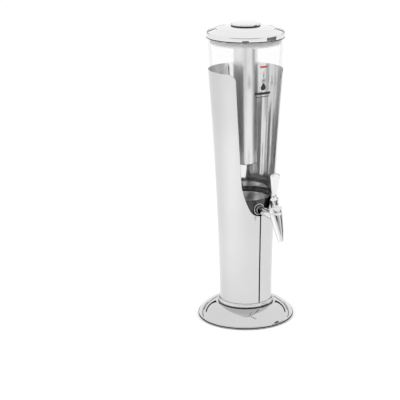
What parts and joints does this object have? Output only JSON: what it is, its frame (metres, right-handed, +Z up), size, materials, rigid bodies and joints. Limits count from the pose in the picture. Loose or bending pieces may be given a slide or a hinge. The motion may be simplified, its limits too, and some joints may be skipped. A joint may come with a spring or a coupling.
{
  "type": "beer tap tower",
  "caption": "Tall flared steel drinks tower on a domed foot: a clear lift-out tank with a self-closing lever tap, a lid, and a capped ice tube hanging inside.",
  "frame": {"origin": "centre of the underside of the foot", "axes": "+Z up along the tower's axis; the tap stands towards -Y, +X to the right seen from the tap's side"},
  "size_m": [0.2036, 0.2468, 0.63],
  "materials": {
    "foot_chrome": "polished",
    "weight_iron": "as cast",
    "pad_rubber": "matte",
    "fastener_steel": "zinc plated",
    "seal_rubber": "matte",
    "ring_chrome": "polished",
    "housing_steel": "polished sheet",
    "inner_steel": "mill finish",
    "strip_black": "matte",
    "cup_black": "gloss",
    "tank_clear": "clear",
    "tap_chrome": "polished",
    "nut_black": "matte",
    "stem_black": "satin",
    "spring_steel": "bright wire",
    "lid_chrome": "polished",
    "lid_plastic": "satin",
    "seal_clear": "satin",
    "ice_steel": "polished",
    "cap_chrome": "polished"
  },
  "bodies": {
    "stand": {"base_cover": "foot_chrome", "base_weight": "weight_iron", "base_pad": "pad_rubber", "base_bolts": "fastener_steel", "base_washers": "fastener_steel", "base_nuts": "fastener_steel", "ring_gasket": "seal_rubber", "housing_ring": "ring_chrome", "housing_bottom_plate": "inner_steel", "housing": "housing_steel", "seam_strip": "strip_black", "tank_seat": "inner_steel", "tank_seat_pad": "seal_rubber"},
    "tank": {"tank_base_cup": "cup_black", "tank_base_oring": "seal_rubber", "tank": "tank_clear", "tap_body": "tap_chrome", "tap_shank": "tap_chrome", "tap_outer_washer": "seal_rubber", "tap_inner_washer": "seal_rubber", "tap_nut": "nut_black", "tap_yoke": "tap_chrome", "tap_bonnet": "tap_chrome", "tap_bonnet_seal": "seal_rubber", "tap_spring": "spring_steel"},
    "tap_stem": {"tap_stem": "stem_black", "tap_seat_cup": "seal_rubber"},
    "tap_lever": {"tap_lever": "tap_chrome", "tap_pin": "fastener_steel", "tap_handle": "tap_chrome", "tap_handle_stud": "fastener_steel"},
    "lid": {"lid_shell": "lid_chrome", "lid_liner": "lid_plastic", "lid_seal": "seal_clear", "lid_collar": "lid_plastic"},
    "ice_tube": {"ice_tube": "ice_steel", "ice_tube_base": "ice_steel", "ice_tube_gasket": "seal_clear"},
    "ice_cap": {"ice_cap": "cap_chrome", "ice_cap_plug": "lid_plastic", "ice_cap_oring": "seal_rubber"}
  },
  "joints": [
    {"name": "tank_lift", "type": "slide", "parent": "stand", "child": "tank", "axis": [0, 0, 1], "range_m": [0, 0.34]},
    {"name": "lid_lift", "type": "slide", "parent": "tank", "child": "lid", "axis": [0, 0, 1], "range_m": [0, 0.29]},
    {"name": "ice_tube_lift", "type": "slide", "parent": "lid", "child": "ice_tube", "axis": [0, 0, 1], "range_m": [0, 0.28]},
    {"name": "ice_cap_lift", "type": "slide", "parent": "ice_tube", "child": "ice_cap", "axis": [0, 0, 1], "range_m": [0, 0.03]},
    {"name": "tap_lever_tilt", "type": "hinge", "parent": "tank", "child": "tap_lever", "pos_m": [0, -0.117, 0.2841], "axis": [1, 0, 0], "range_deg": [0, 30]},
    {"name": "tap_stem_lift", "type": "slide", "parent": "tank", "child": "tap_stem", "axis": [0, 0.3256, 0.9455], "range_m": [0, 0.0036], "stiffness_N_per_m": 150, "springref_m": -0.004, "deforming": ["tap_spring"]}
  ],
  "couplings": [
    {"joint": "tap_stem_lift", "follows": "tap_lever_tilt", "m_per_rad": 0.00685}
  ]
}
